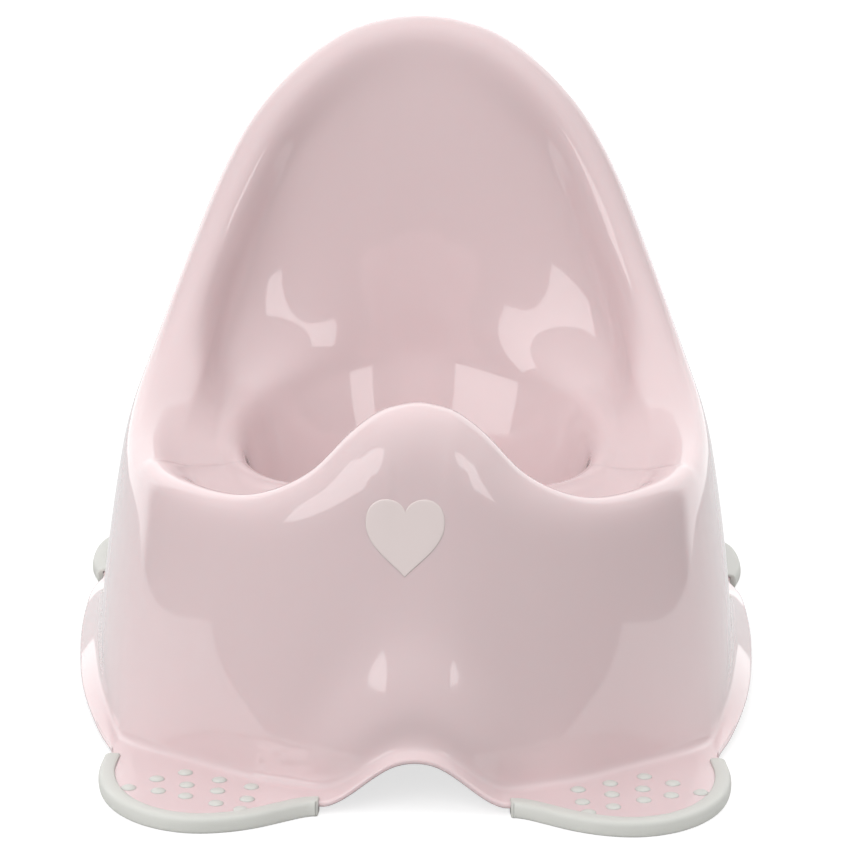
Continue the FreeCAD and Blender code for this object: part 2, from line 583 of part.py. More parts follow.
def emblem():
    R, t = D("emblem_size"), D("emblem_thick")
    cx, cz = D("emblem_x"), D("emblem_z")
    m, k = 13, 0.62*R
    inner, outer = [], []
    for i in range(m):
        a, b = [], []
        for j in range(m):
            x, z = cx+k*(2.0*i/(m-1)-1), cz+k*(2.0*j/(m-1)-1)
            p, n = wall_at(x, z)
            a.append(add(p, mul(n, 0.02)))
            b.append(add(p, mul(n, 0.02+t)))
        inner.append(a)
        outer.append(b)

    def fit(G):
        cols = [solve(c) for c in G]
        rows = [solve([cols[i][j] for i in range(m)]) for j in range(m+2)]
        return clamp2([[rows[j][i] for j in range(m+2)] for i in range(m+2)])
    A, B = fit(inner), fit(outer)
    fs = [patch(A), patch(B)]
    for ra, rb in ((A[0], B[0]), (A[-1], B[-1]), ([c[0] for c in A], [c[0] for c in B]),
                   ([c[-1] for c in A], [c[-1] for c in B])):
        fs.append(patch([[p, q] for p, q in zip(ra, rb)], 3, 1))
    slab = sewn(fs)
    # heart outline from four Bezier arcs
    r = R/2.0
    P = [(0, 0.62), (0.12, 1.05), (0.95, 1.12), (0.98, 0.38), (1.0, -0.22), (0.42, -0.55), (0, -1.0)]
    def V(q, sx): return Vector(cx+sx*q[0]*r, -200, cz+q[1]*r)
    edges = []
    for sx in (1, -1):
        for s in (0, 3):
            c = Part.BezierCurve()
            c.setPoles([V(P[s+i], sx) for i in range(4)])
            edges.append(c.toShape())
    prism = flat(edges).extrude(Vector(0, 120, 0))
    so = slab.common(prism)
    if so.ShapeType != "Solid":
        so = so.Solids[0]
    f = doc.addObject("Part::Feature", "front_emblem")
    f.Shape = so
    f.Label = "front_emblem"


emblem()

# ---------------------------------------------------------------- checks and export
NODES = ["potty_shell", "front_left_foot_edge", "front_right_foot_edge", "rear_left_foot_edge",
         "rear_right_foot_edge", "front_left_grip_dots", "front_right_grip_dots", "front_emblem"]
doc.recompute()
for o in doc.Objects:
    bad = [s for s in o.State if s in ("Invalid", "Error")]
    if bad:
        raise RuntimeError("%s: %s" % (o.Name, bad))
os.makedirs("parts", exist_ok=True)
for name in NODES:
    o = [x for x in doc.Objects if x.Label == name][0]
    s = o.Shape
    if s.isNull() or not s.isValid():
        raise RuntimeError(name+" shape is not valid")
    bb = s.BoundBox
    print("%-24s %s solids %d vol %.1f  x %.2f..%.2f y %.2f..%.2f z %.2f..%.2f" % (
        name, s.ShapeType, len(s.Solids), s.Volume, bb.XMin, bb.XMax, bb.YMin, bb.YMax, bb.ZMin, bb.ZMax))
    s.exportStep("parts/%s.step" % name)
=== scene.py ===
import bpy
import bmesh
import math
import numpy as np
from mathutils import Vector, Matrix


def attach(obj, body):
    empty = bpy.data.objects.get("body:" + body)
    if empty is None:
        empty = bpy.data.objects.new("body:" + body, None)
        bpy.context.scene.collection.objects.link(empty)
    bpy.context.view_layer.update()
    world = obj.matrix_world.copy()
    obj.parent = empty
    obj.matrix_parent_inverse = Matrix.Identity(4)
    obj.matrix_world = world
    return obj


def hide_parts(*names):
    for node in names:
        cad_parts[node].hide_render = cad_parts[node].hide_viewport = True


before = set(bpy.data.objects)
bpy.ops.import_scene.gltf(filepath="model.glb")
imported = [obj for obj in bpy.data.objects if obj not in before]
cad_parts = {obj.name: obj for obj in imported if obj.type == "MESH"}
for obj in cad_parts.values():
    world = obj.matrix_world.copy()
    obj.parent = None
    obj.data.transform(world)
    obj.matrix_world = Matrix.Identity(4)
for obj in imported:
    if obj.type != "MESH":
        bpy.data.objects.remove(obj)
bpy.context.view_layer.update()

MM = 0.001

# ---------------------------------------------------------------- vectors
def add(a, b): return (a[0]+b[0], a[1]+b[1], a[2]+b[2])
def sub(a, b): return (a[0]-b[0], a[1]-b[1], a[2]-b[2])
def mul(a, s): return (a[0]*s, a[1]*s, a[2]*s)
def dot(a, b): return a[0]*b[0]+a[1]*b[1]+a[2]*b[2]
def cross(a, b): return (a[1]*b[2]-a[2]*b[1], a[2]*b[0]-a[0]*b[2], a[0]*b[1]-a[1]*b[0])
def unit(a):
    n = math.sqrt(dot(a, a)) or 1.0
    return (a[0]/n, a[1]/n, a[2]/n)
def mix(a, b, t): return tuple(p+(q-p)*t for p, q in zip(a, b))
def step(t):
    t = min(1.0, max(0.0, t))
    return t*t*t*(t*(6*t-15)+10)


class Spline:
    """Cubic spline; slope 0 at both ends (even) or curvature 0 at both ends (odd)."""

    def __init__(self, xs, ys, odd=False):
        n = len(xs)
        h = [xs[i+1]-xs[i] for i in range(n-1)]
        a, b, c, r = [0.0]*n, [1.0]*n, [0.0]*n, [0.0]*n
        if not odd:
            b[0], c[0], r[0] = 2*h[0], h[0], 6*(ys[1]-ys[0])/h[0]
            a[-1], b[-1], r[-1] = h[-1], 2*h[-1], -6*(ys[-1]-ys[-2])/h[-1]
        for i in range(1, n-1):
            a[i], b[i], c[i] = h[i-1], 2*(h[i-1]+h[i]), h[i]
            r[i] = 6*((ys[i+1]-ys[i])/h[i]-(ys[i]-ys[i-1])/h[i-1])
        for i in range(1, n):
            m = a[i]/b[i-1]
            b[i] -= m*c[i-1]
            r[i] -= m*r[i-1]
        k = [0.0]*n
        k[-1] = r[-1]/b[-1]
        for i in range(n-2, -1, -1):
            k[i] = (r[i]-c[i]*k[i+1])/b[i]
        self.x, self.y, self.k = list(xs), list(ys), k

    def __call__(self, t):
        x, y, k = self.x, self.y, self.k
        lo, hi = 0, len(x)-1
        while hi-lo > 1:
            m = (lo+hi)//2
            if x[m] > t:
                hi = m
            else:
                lo = m
        h = x[hi]-x[lo]
        p, q = (x[hi]-t)/h, (t-x[lo])/h
        return p*y[lo]+q*y[hi]+((p**3-p)*k[lo]+(q**3-q)*k[hi])*h*h/6


class Curve:
    """Half of a loop that is symmetric about x = 0, through (station, x, y, z) rows."""

    def __init__(self, rows):
        s = [r[0] for r in rows]
        self.c = [Spline(s, [r[1] for r in rows], odd=True),
                  Spline(s, [r[2] for r in rows]), Spline(s, [r[3] for r in rows])]

    def __call__(self, s): return tuple(c(s) for c in self.c)

    def tangent(self, s):
        a, b = max(0.0, s-0.4), min(180.0, s+0.4)
        if s < 0.5 or s > 179.5:
            return (1.0, 0.0, 0.0) if s < 0.5 else (-1.0, 0.0, 0.0)
        return unit(sub(self(b), self(a)))


class Table:
    def __init__(self, rows): self.s = Spline([r[0] for r in rows], [r[1] for r in rows])
    def __call__(self, t): return self.s(t)


# ---------------------------------------------------------------- guide curves (mm)
# station, x, y, z : outer shoulder of the rolled rim
CREST = [
    (0, 0, -141.6, 176.5), (3, 9, -141.5, 175.3), (6, 17, -141, 173.2), (9, 24, -140.5, 169.5),
    (12, 30, -139.7, 165), (15, 35.5, -139, 160), (18, 40.5, -138.2, 154.4), (22, 46.8, -137.1, 147),
    (26, 52.6, -135.5, 141.6), (30, 59, -133.2, 137), (34.5, 67, -129.4, 132.4), (39, 76, -124.2, 128.6),
    (44, 86.5, -116, 126.2), (49.5, 97, -106, 125.2), (54.5, 106, -95.5, 124.9), (59, 113.2, -85.3, 124.7),
    (63, 118.4, -76, 124.8), (67, 122.4, -66.3, 125.2), (70, 124.8, -58.5, 125.7), (74, 127.2, -47.5, 126.7),
    (79, 128.9, -33, 128.2), (84, 129.3, -18, 130.6), (90, 128.3, -1, 134.7), (97, 125.2, 15, 141),
    (105, 119.6, 31, 152.4), (112, 112.9, 46.3, 168.5), (117, 107, 56, 182.5), (121, 101.8, 63.5, 195),
    (124.5, 96.8, 69.8, 207), (128, 91.4, 75.6, 219), (132, 84.8, 81.5, 232), (136, 77.7, 86.5, 243.5),
    (140, 70.4, 90.6, 252.8), (144, 62.8, 94.3, 260.6), (148, 54.8, 97.7, 267.6), (153, 45, 101.7, 274.5),
    (158, 35.6, 105.1, 280), (163, 26.6, 107.7, 283.6), (167, 19.9, 109.3, 285.4), (170.5, 14.3, 110.2, 286.4),
    (174, 8.9, 110.7, 286.9), (177, 4.4, 110.95, 287.1), (180, 0, 111, 287.2)]
# foot of the skirt wall
CREASE = [
    (0, 0, -165.5, 29.5), (3, 10, -165.2, 27.5), (6, 19.5, -163.8, 21), (9, 28, -161, 14), (12, 35.5, -157.3, 9),
    (15, 42, -153.7, 6.6), (18, 49, -150.3, 6), (22, 57, -147, 6), (26, 64.5, -144.2, 6), (30, 72.5, -140, 6),
    (34.5, 81, -134, 6), (39, 89.5, -127.7, 6), (44, 99, -121.2, 6), (49.5, 108.5, -115, 6), (54.5, 116, -109.2, 6),
    (59, 121.8, -103.9, 6), (63, 126.3, -98.5, 6), (67, 130, -92.7, 6), (70, 131.9, -88, 7), (74, 134.5, -80.5, 9.4),
    (79, 137.3, -70, 13), (84, 140.2, -55.5, 16.4), (90, 142.9, -33.5, 19.5), (97, 145.3, -3, 21), (105, 147.1, 33, 20),
    (112, 147.2, 66, 15.5), (117, 145.6, 90, 10), (121, 141.8, 104, 7), (124.5, 137, 113, 6), (128, 131.5, 120, 6),
    (132, 125, 127, 6), (136, 118, 133.5, 6), (140, 110.5, 139.5, 6), (144, 103, 145, 6), (148, 95, 150, 6),
    (153, 84.5, 155.5, 6), (158, 73.5, 160, 6), (163, 61.5, 163.7, 6), (167, 50.5, 166.3, 7), (170.5, 39.5, 168.2, 11),
    (174, 27, 169.6, 18), (177, 13.5, 170.4, 23.5), (180, 0, 170.6, 25.5)]
# free edge of the flange, the two front and the two rear foot plates
LIP = [
    (0, 0, -170.7, 25.4), (3, 10, -170.6, 23.6), (6, 20, -170.3, 17.6), (9, 29.5, -170, 10.4), (12, 37, -169.4, 6.3), (13, 39.3, -169.2, 6),
    (15, 44, -169, 6), (18, 52, -173, 6), (22, 60.5, -178.6, 6), (26, 68.5, -183.4, 6), (30, 78.5, -187.3, 6),
    (34.5, 89.5, -189.1, 6), (39, 99.5, -187.9, 6), (44, 111.5, -182.3, 6), (49.5, 123, -170.5, 6), (54.5, 130, -156, 6),
    (59, 133.1, -141, 6), (63, 133.4, -128, 6), (67, 132.2, -115, 6), (70, 133.6, -105.5, 6), (74, 138, -94, 6.6),
    (79, 143.4, -76.5, 8), (84, 148, -57.5, 9.4), (90, 152, -33, 10.6), (97, 154.8, -3, 11), (105, 157, 35, 10.6),
    (112, 157.4, 71.6, 9), (117, 156.8, 97.5, 7.2), (121, 154.3, 113, 6.3), (124.5, 152.7, 124, 6), (128, 155, 134, 6),
    (132, 156.9, 145, 6), (136, 156.6, 159, 6), (140, 154.4, 173, 6), (144, 148, 182.5, 6), (148, 137, 187.7, 6),
    (153, 121, 189.9, 6), (158, 103, 188, 6), (163, 86, 182.5, 6), (167, 70, 178, 6), (170.5, 55, 176.5, 8.5),
    (174, 36, 176.3, 15), (177, 18, 176.2, 20), (180, 0, 176.2, 21.5)]
# edge of the bowl
EDGE = [
    (0, 0, -104, 126), (9, 15, -102.5, 125.5), (18, 30, -98, 124.5), (26, 42, -91, 123), (34.5, 52, -82, 121),
    (44, 61, -70.5, 119), (54.5, 68.5, -56, 117), (63, 73, -44, 115.8), (70, 75.8, -33, 115), (79, 78, -19, 114.5),
    (90, 79, -2, 114.5), (97, 78.5, 9.5, 115), (105, 76.5, 22, 116), (112, 73, 33, 117.3), (121, 66.5, 44.5, 119),
    (132, 55.5, 56, 122), (144, 42, 65, 125.5), (153, 31.5, 70, 128), (163, 20, 73.8, 130), (172, 9.5, 75.8, 131),
    (180, 0, 76.3, 131.3)]
# outer and inner radius of the rolled rim, and how far its outline stands out from the guide
ROLL_OUT = [(0, 15), (15, 14.5), (26, 12), (34.5, 10), (44, 8.5), (60, 8), (75, 8.5), (90, 9.5), (105, 11.5),
            (121, 13.5), (150, 14.5), (180, 14.5)]
ROLL_IN = [(0, 7), (26, 6.5), (44, 6), (60, 6), (80, 7), (97, 8.5), (112, 10.5), (132, 12), (180, 12.5)]
STAND = [(0, 0), (60, 0.3), (84, 1.0), (90, 1.6), (97, 2.8), (105, 4.0), (112, 4.9), (121, 5.6), (132, 5.5), (144, 4.7),
         (158, 3.4), (165, 2.2), (172, 2.0), (180, 2.1)]
SAG = [(0, 0), (30, 0.5), (50, 0.8), (70, 0.8), (85, 1.2), (97, 3), (105, 6), (112, 8.5), (121, 9), (132, 7.5),
       (144, 4), (153, 2), (163, 0), (180, -1)]


def on_cone(th, z, dim):
    """Drafted oval skirt: angle from the front, height -> point."""
    a = dim["half_w"]-dim["draft_side"]*(z-6)
    bf = dim["front"]-dim["draft_front"]*(z-6)
    br = dim["rear"]-dim["draft_rear"]*(z-6)
    c, s = math.cos(th), math.sin(th)
    b = bf if c > 0 else br
    return (a*s, dim["y0"]-b*c, z)


def cone_angle(p, dim):
    z = p[2]
    a = dim["half_w"]-dim["draft_side"]*(z-6)
    bf = dim["front"]-dim["draft_front"]*(z-6)
    br = dim["rear"]-dim["draft_rear"]*(z-6)
    dy = dim["y0"]-p[1]
    return math.atan2(p[0]/a, dy/(bf if dy > 0 else br))


def cone_normal(p, dim):
    th = cone_angle(p, dim)
    e = 0.01
    q = on_cone(th, p[2], dim)
    du = sub(on_cone(th+e, p[2], dim), on_cone(th-e, p[2], dim))
    dz = sub(on_cone(th, p[2]+1, dim), on_cone(th, p[2]-1, dim))
    n = unit(cross(du, dz))
    if n[0]*q[0]+n[1]*(q[1]-dim["y0"]) < 0:
        n = mul(n, -1)
    return n


def stations(rows, n):
    """Pole stations: the guide stations with n-1 extra ones between neighbours."""
    s = [r[0] for r in rows]
    out = []
    for a, b in zip(s, s[1:]):
        out += [a+(b-a)*i/n for i in range(n)]
    return out+[s[-1]]


def section(s, G, dim):
    """Poles of one section of the moulding, from the bowl floor outwards to the free edge."""
    crest, crease, lip, edge = G["crest"](s), G["crease"](s), G["lip"](s), G["edge"](s)
    crease, lip = [(p[0], p[1], 6.0 if p[2] < 6.12 else p[2]) for p in (crease, lip)]
    ro, ri = G["out"](s), G["in"](s)
    rows = []
    yc, fz = dim["bowl_y"], dim["floor_z"]
    ze = edge[2]
    for k, z in ((0.40, fz), (0.51, fz), (0.62, fz), (0.705, fz+3.2)):
        rows.append((edge[0]*k, yc+(edge[1]-yc)*k, z))
    for k, t in ((0.765, 0.17), (0.83, 0.38), (0.886, 0.60), (0.938, 0.80)):
        rows.append((edge[0]*k, yc+(edge[1]-yc)*k, fz+(ze-fz)*t))
    # rolled rim
    N = cone_normal(crest, dim)
    T = G["crest"].tangent(s)
    k = G["stand"](s)
    w = unit((-T[2], 0.0, T[0]))
    if w[0]*crest[0]+w[2]*(crest[2]-100.0) < 0:
        w = mul(w, -1)
    crest = add(crest, mul(w, k))
    U = unit(cross(N, T))
    if U[2] < 0:
        U = mul(U, -1)
    if s < 0.5 or s > 179.5:
        N = unit((0.0, N[1], N[2]))
        U = unit((0.0, U[1], U[2]))
    drop = max(0.0, 0.29*(ro+0.4*ri)+0.05*ri-0.8)*(1-step((s-60)/35.0))
    crest = add(crest, mul(U, -drop))
    out_low = add(crest, mul(U, -1.3*ro))
    out_top = add(crest, add(mul(N, -0.29*ro), mul(U, 0.32*ri-0.1*(ro-ri))))
    shelf = step((s-48)/18.0)*(1-step((s-95)/24.0))
    in_top = add(crest, add(mul(N, -(ro+0.72*ri+2*shelf)), mul(U, 0.32*ri-0.14*ri*shelf)))
    in_low = add(crest, add(mul(N, -(ro+ri+9*shelf)), mul(U, -1.15*ri*(1-0.88*shelf))))
    # edge of the bowl, softened
    c = sub(in_low, edge)
    L = math.sqrt(dot(c, c))
    cu = mul(c, 1/L)
    wall = unit(sub(edge, rows[-1]))
    e = dim["edge_soft"]
    rows.append(add(edge, mul(wall, -e)))
    rows.append(edge)
    rows.append(add(edge, mul(cu, e)))
    # seat, splash guard and backrest
    rad = unit((N[0], N[1], 0.0))
    cr, cz = dot(c, rad), c[2]
    sag = unit((rad[0]*cz, rad[1]*cz, -cr))
    sg = G["sag"](s)
    t0 = e/L
    for i in range(1, 7):
        t = t0+(1-t0)*i/7.0
        w = math.sin(math.pi*t)
        rows.append(add(mix(edge, in_low, t), mul(sag, sg*w)))
    rows += [in_low, in_top, out_top, out_low]
    # skirt wall
    ths, zs = cone_angle(out_low, dim), out_low[2]
    foot = add(crease, (0, 0, 0))
    thk, zk = cone_angle(foot, dim), foot[2]
    d0 = sub(out_low, on_cone(ths, zs, dim))
    d1 = sub(foot, on_cone(thk, zk, dim))
    n = 8
    wallp = []
    for i in range(1, n+1):
        t = i/float(n)
        t = t if i < n else 1-dim["crease_soft"]/max(20.0, zs-zk)
        th, z = ths+(thk-ths)*t, zs+(zk-zs)*t
        p = on_cone(th, z, dim)
        w = t*t*t
        p = add(p, add(mul(d0, 1-t), mul(d1, w)))
        # forward flare of the wall above the front arch
        top = dim["flare_z"]-0.021*p[0]*p[0]
        f = dim["flare"]*step((top-p[2])/48.0)*step((72-abs(p[0]))/40.0)*(1 if p[1] < 0 else 0)*(1-step((t-0.80)/0.2))
        p = add(p, mul(unit((N[0], N[1], 0)), f))
        wallp.append(p)
    rows += wallp
    # crease, flange or foot plate, free edge
    w = sub(lip, crease)
    Lw = math.sqrt(dot(w, w))
    k = min(0.30, dim["crease_soft"]/Lw)
    rows.append(crease)
    for t in (k, k+(1-k)*0.25, k+(1-k)*0.5, k+(1-k)*0.75, 1.0):
        rows.append(mix(crease, lip, t))
    return rows


def pole_net(dim):
    G = {"crest": Curve(CREST), "crease": Curve(CREASE), "lip": Curve(LIP), "edge": Curve(EDGE),
         "out": Table(ROLL_OUT), "in": Table(ROLL_IN), "stand": Table(STAND), "sag": Table(SAG)}
    st = stations(LIP, 2)
    return st, [section(s, G, dim) for s in st]


def flip(p): return (-p[0], p[1], p[2])


def padded(net):
    """Net with one mirrored column at each end and one extrapolated row at each end."""
    cols = [[flip(p) for p in net[1]]]+[list(c) for c in net]+[[flip(p) for p in net[-2]]]
    return [[sub(mul(c[0], 2), c[1])]+c+[sub(mul(c[-1], 2), c[-2])] for c in cols]


def basis(t):
    return ((1-t)**3/6, (3*t**3-6*t**2+4)/6, (-3*t**3+3*t**2+3*t+1)/6, t**3/6)


def dbasis(t):
    return (-(1-t)**2/2, (3*t*t-4*t)/2, (-3*t*t+2*t+1)/2, t*t/2)


def surf(P, u, v, d=False):
    """Uniform cubic surface on the padded net P; u over columns, v over rows."""
    nu, nv = len(P)-3, len(P[0])-3
    i, j = min(nu-1, max(0, int(u))), min(nv-1, max(0, int(v)))
    bu, bv = basis(u-i), basis(v-j)
    def acc(a, b):
        x = y = z = 0.0
        for m in range(4):
            for n in range(4):
                w = a[m]*b[n]
                q = P[i+m][j+n]
                x += w*q[0]; y += w*q[1]; z += w*q[2]
        return (x, y, z)
    p = acc(bu, bv)
    if not d:
        return p
    return p, acc(dbasis(u-i), bv), acc(bu, dbasis(v-j))


def normal(P, u, v):
    p, du, dv = surf(P, u, v, True)
    return p, unit(cross(du, dv))


DIM = {"half_w": 149.8, "draft_side": 0.15, "front": 150.0, "draft_front": 0.15, "rear": 187.0, "draft_rear": 0.214,
       "y0": -15.0, "bowl_y": -14.0, "floor_z": 22.0, "edge_soft": 8.5, "crease_soft": 6.0, "flare": 5.0,
       "flare_z": 85.0}
WALL, PLATE = 2.8, 6.0


# ---------------------------------------------------------------- helpers
def weights(ts, n):
    m = np.zeros((len(ts), n+3))
    for r, t in enumerate(ts):
        i = min(n-1, int(t))
        m[r, i:i+4] = basis(t-i)
    return m


def dense(P, ku, kv):
    A = np.array(P)
    nu, nv = A.shape[0]-3, A.shape[1]-3
    us = np.linspace(0, nu, nu*ku+1)
    vs = np.linspace(0, nv, nv*kv+1)
    return np.einsum("ui,ijk,vj->uvk", weights(us, nu), A, weights(vs, nv))


def make_object(name, verts, faces, mat, replaces=(), smooth=True):
    me = bpy.data.meshes.new(name)
    me.from_pydata([tuple(float(c)*MM for c in v) for v in verts], [], faces)
    me.validate()
    bm = bmesh.new()
    bm.from_mesh(me)
    bmesh.ops.remove_doubles(bm, verts=bm.verts, dist=1e-6)
    bmesh.ops.recalc_face_normals(bm, faces=bm.faces)
    bm.to_mesh(me)
    bm.free()
    for p in me.polygons:
        p.use_smooth = smooth
    me.materials.append(mat)
    ob = bpy.data.objects.new(name, me)
    bpy.context.scene.collection.objects.link(ob)
    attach(ob, "root")
    if replaces:
        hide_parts(*replaces)
    return ob


def node(nt, kind, **props):
    n = nt.nodes.new(kind)
    for k, v in props.items():
        setattr(n, k, v)
    return n


def new_material(name):
    m = bpy.data.materials.new(name)
    m.use_nodes = True
    nt = m.node_tree
    for n in list(nt.nodes):
        nt.nodes.remove(n)
    out = node(nt, "ShaderNodeOutputMaterial")
    bsdf = node(nt, "ShaderNodeBsdfPrincipled")
    nt.links.new(bsdf.outputs[0], out.inputs[0])
    return m, nt, bsdf


def lin(c):
    return tuple(((x/255.0)/12.92 if x <= 10 else ((x/255.0+0.055)/1.055)**2.4) for x in c)+(1.0,)


def noise(nt, vec, scale, detail=2.0, rough=0.5):
    n = node(nt, "ShaderNodeTexNoise")
    n.inputs["Scale"].default_value = scale
    n.inputs["Detail"].default_value = detail
    n.inputs["Roughness"].default_value = rough
    nt.links.new(vec, n.inputs["Vector"])
    return n.outputs["Fac"]


def ramp(nt, fac, a, b):
    r = node(nt, "ShaderNodeMapRange")
    r.inputs["To Min"].default_value = a
    r.inputs["To Max"].default_value = b
    nt.links.new(fac, r.inputs["Value"])
    return r.outputs["Result"]


def mixcol(nt, fac, a, b):
    m = node(nt, "ShaderNodeMix", data_type="RGBA")
    nt.links.new(fac, m.inputs["Factor"])
    m.inputs["A"].default_value = a
    m.inputs["B"].default_value = b
    return m.outputs["Result"]


# ---------------------------------------------------------------- materials
def pink_plastic():
    m, nt, b = new_material("gloss_pink_plastic")
    co = node(nt, "ShaderNodeTexCoord").outputs["Object"]
    big = noise(nt, co, 9.0, 3.0)
    col = mixcol(nt, big, lin(PINK_A), lin(PINK_B))
    nt.links.new(col, b.inputs["Base Color"])
    fine = noise(nt, co, 420.0, 2.0)
    nt.links.new(ramp(nt, fine, 0.05, 0.075), b.inputs["Roughness"])
    wave = noise(nt, co, 26.0, 1.5)
    bump = node(nt, "ShaderNodeBump")
    bump.inputs["Strength"].default_value = 0.035
    bump.inputs["Distance"].default_value = 0.002
    nt.links.new(wave, bump.inputs["Height"])
    grain = node(nt, "ShaderNodeBump")
    grain.inputs["Strength"].default_value = 0.02
    grain.inputs["Distance"].default_value = 0.0002
    nt.links.new(noise(nt, co, 1600.0, 2.0), grain.inputs["Height"])
    nt.links.new(bump.outputs[0], grain.inputs["Normal"])
    nt.links.new(grain.outputs[0], b.inputs["Normal"])
    b.inputs["IOR"].default_value = 1.5
    b.inputs["Coat Weight"].default_value = 0.8
    b.inputs["Coat Roughness"].default_value = 0.03
    b.inputs["Coat IOR"].default_value = 1.5
    b.inputs["Subsurface Weight"].default_value = 0.15
    b.inputs["Subsurface Radius"].default_value = (0.006, 0.003, 0.003)
    b.inputs["Subsurface Scale"].default_value = 1.0
    return m


def soft_tpe():
    m, nt, b = new_material("soft_white_elastomer")
    co = node(nt, "ShaderNodeTexCoord").outputs["Object"]
    col = mixcol(nt, noise(nt, co, 30.0, 4.0), lin((196, 197, 192)), lin((203, 203, 198)))
    nt.links.new(col, b.inputs["Base Color"])
    nt.links.new(ramp(nt, noise(nt, co, 300.0, 3.0), 0.42, 0.56), b.inputs["Roughness"])
    bump = node(nt, "ShaderNodeBump")
    bump.inputs["Strength"].default_value = 0.18
    bump.inputs["Distance"].default_value = 0.0003
    nt.links.new(noise(nt, co, 900.0, 3.0, 0.6), bump.inputs["Height"])
    nt.links.new(bump.outputs[0], b.inputs["Normal"])
    b.inputs["IOR"].default_value = 1.48
    b.inputs["Subsurface Weight"].default_value = 0.1
    b.inputs["Subsurface Radius"].default_value = (0.003, 0.003, 0.0025)
    b.inputs["Subsurface Scale"].default_value = 1.0
    return m


def pale_print():
    m, nt, b = new_material("pale_pad_print")
    co = node(nt, "ShaderNodeTexCoord").outputs["Object"]
    col = mixcol(nt, noise(nt, co, 60.0, 3.0), lin((222, 209, 207)), lin((224, 211, 209)))
    nt.links.new(col, b.inputs["Base Color"])
    nt.links.new(ramp(nt, noise(nt, co, 300.0, 2.0), 0.24, 0.28), b.inputs["Roughness"])
    bump = node(nt, "ShaderNodeBump")
    bump.inputs["Strength"].default_value = 0.02
    bump.inputs["Distance"].default_value = 0.00004
    nt.links.new(noise(nt, co, 700.0, 2.0), bump.inputs["Height"])
    nt.links.new(bump.outputs[0], b.inputs["Normal"])
    b.inputs["IOR"].default_value = 1.5
    return m


PINK_A, PINK_B = (216, 194, 196), (218, 197, 198)
BACK0, BACK1, BACKV = 0.40, 0.56, 1.45
DARK, MIDV, TOPV = 0.25, 0.65, 0.9
BOX_L, BOX_R, FILL, FRONT, SIDE = 1.7, 1.8, 2.0, 23.0, 7.5
TABLE_X, TABLE_Y0 = 0.5, -0.2
pink, tpe, print_mat = pink_plastic(), soft_tpe(), pale_print()

# ---------------------------------------------------------------- shell
st, net = pole_net(DIM)
top = padded(net)
NU, NV = len(net), len(net[0])


def under_net():
    target = []
    for i in range(NU):
        col = []
        for j in range(NV):
            p, n = normal(top, i, j)
            if i in (0, NU-1):
                n = unit((0.0, n[1], n[2]))
            q = add(p, mul(n, WALL))
            col.append((0.0, q[1], q[2]) if i in (0, NU-1) else q)
        target.append(col)
    tgt = np.array(target)
    cur = tgt.copy()
    for it in range(24):
        U = np.array(padded([[tuple(p) for p in c] for c in cur]))
        k = (1/6.0, 4/6.0, 1/6.0)
        S = sum(k[a]*k[b]*U[a:a+NU, b:b+NV] for a in range(3) for b in range(3))
        cur = cur+(tgt-S)
        cur[0, :, 0] = 0.0
        cur[-1, :, 0] = 0.0
    return padded([[tuple(p) for p in c] for c in cur])


under = under_net()


